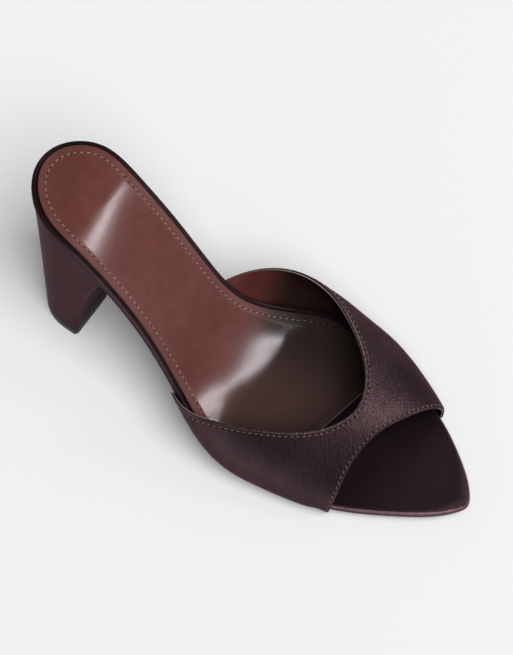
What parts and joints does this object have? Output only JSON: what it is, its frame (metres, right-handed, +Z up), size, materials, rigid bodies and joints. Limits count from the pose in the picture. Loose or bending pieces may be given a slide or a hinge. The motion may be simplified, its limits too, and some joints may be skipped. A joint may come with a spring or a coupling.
{
  "type": "peep-toe heeled sandal",
  "caption": "Backless right sandal with a pointed open toe, a broad satin band over the forefoot, a smooth leather sock and a high block heel.",
  "frame": {"origin": "middle of the base of the bounding box, on the plane that the forefoot and the heel stand on", "axes": "+Y from the toe to the heel, +Z up, +X towards the inner side of the foot"},
  "size_m": [0.089, 0.213, 0.0961],
  "materials": {
    "outsole": "smooth dark sole leather",
    "insole_satin": "dark brown satin with a soft sheen",
    "sock_leather": "glossy smooth red-brown leather",
    "upper_satin": "dark brown satin with a soft sheen, leather lining",
    "heel_satin": "dark brown satin stretched over a moulded block",
    "top_piece": "hard matt plastic"
  },
  "bodies": {
    "root": {"outsole": "outsole", "insole": "insole_satin", "sock": "sock_leather", "upper": "upper_satin", "heel": "heel_satin", "top_piece": "top_piece"}
  },
  "joints": []
}
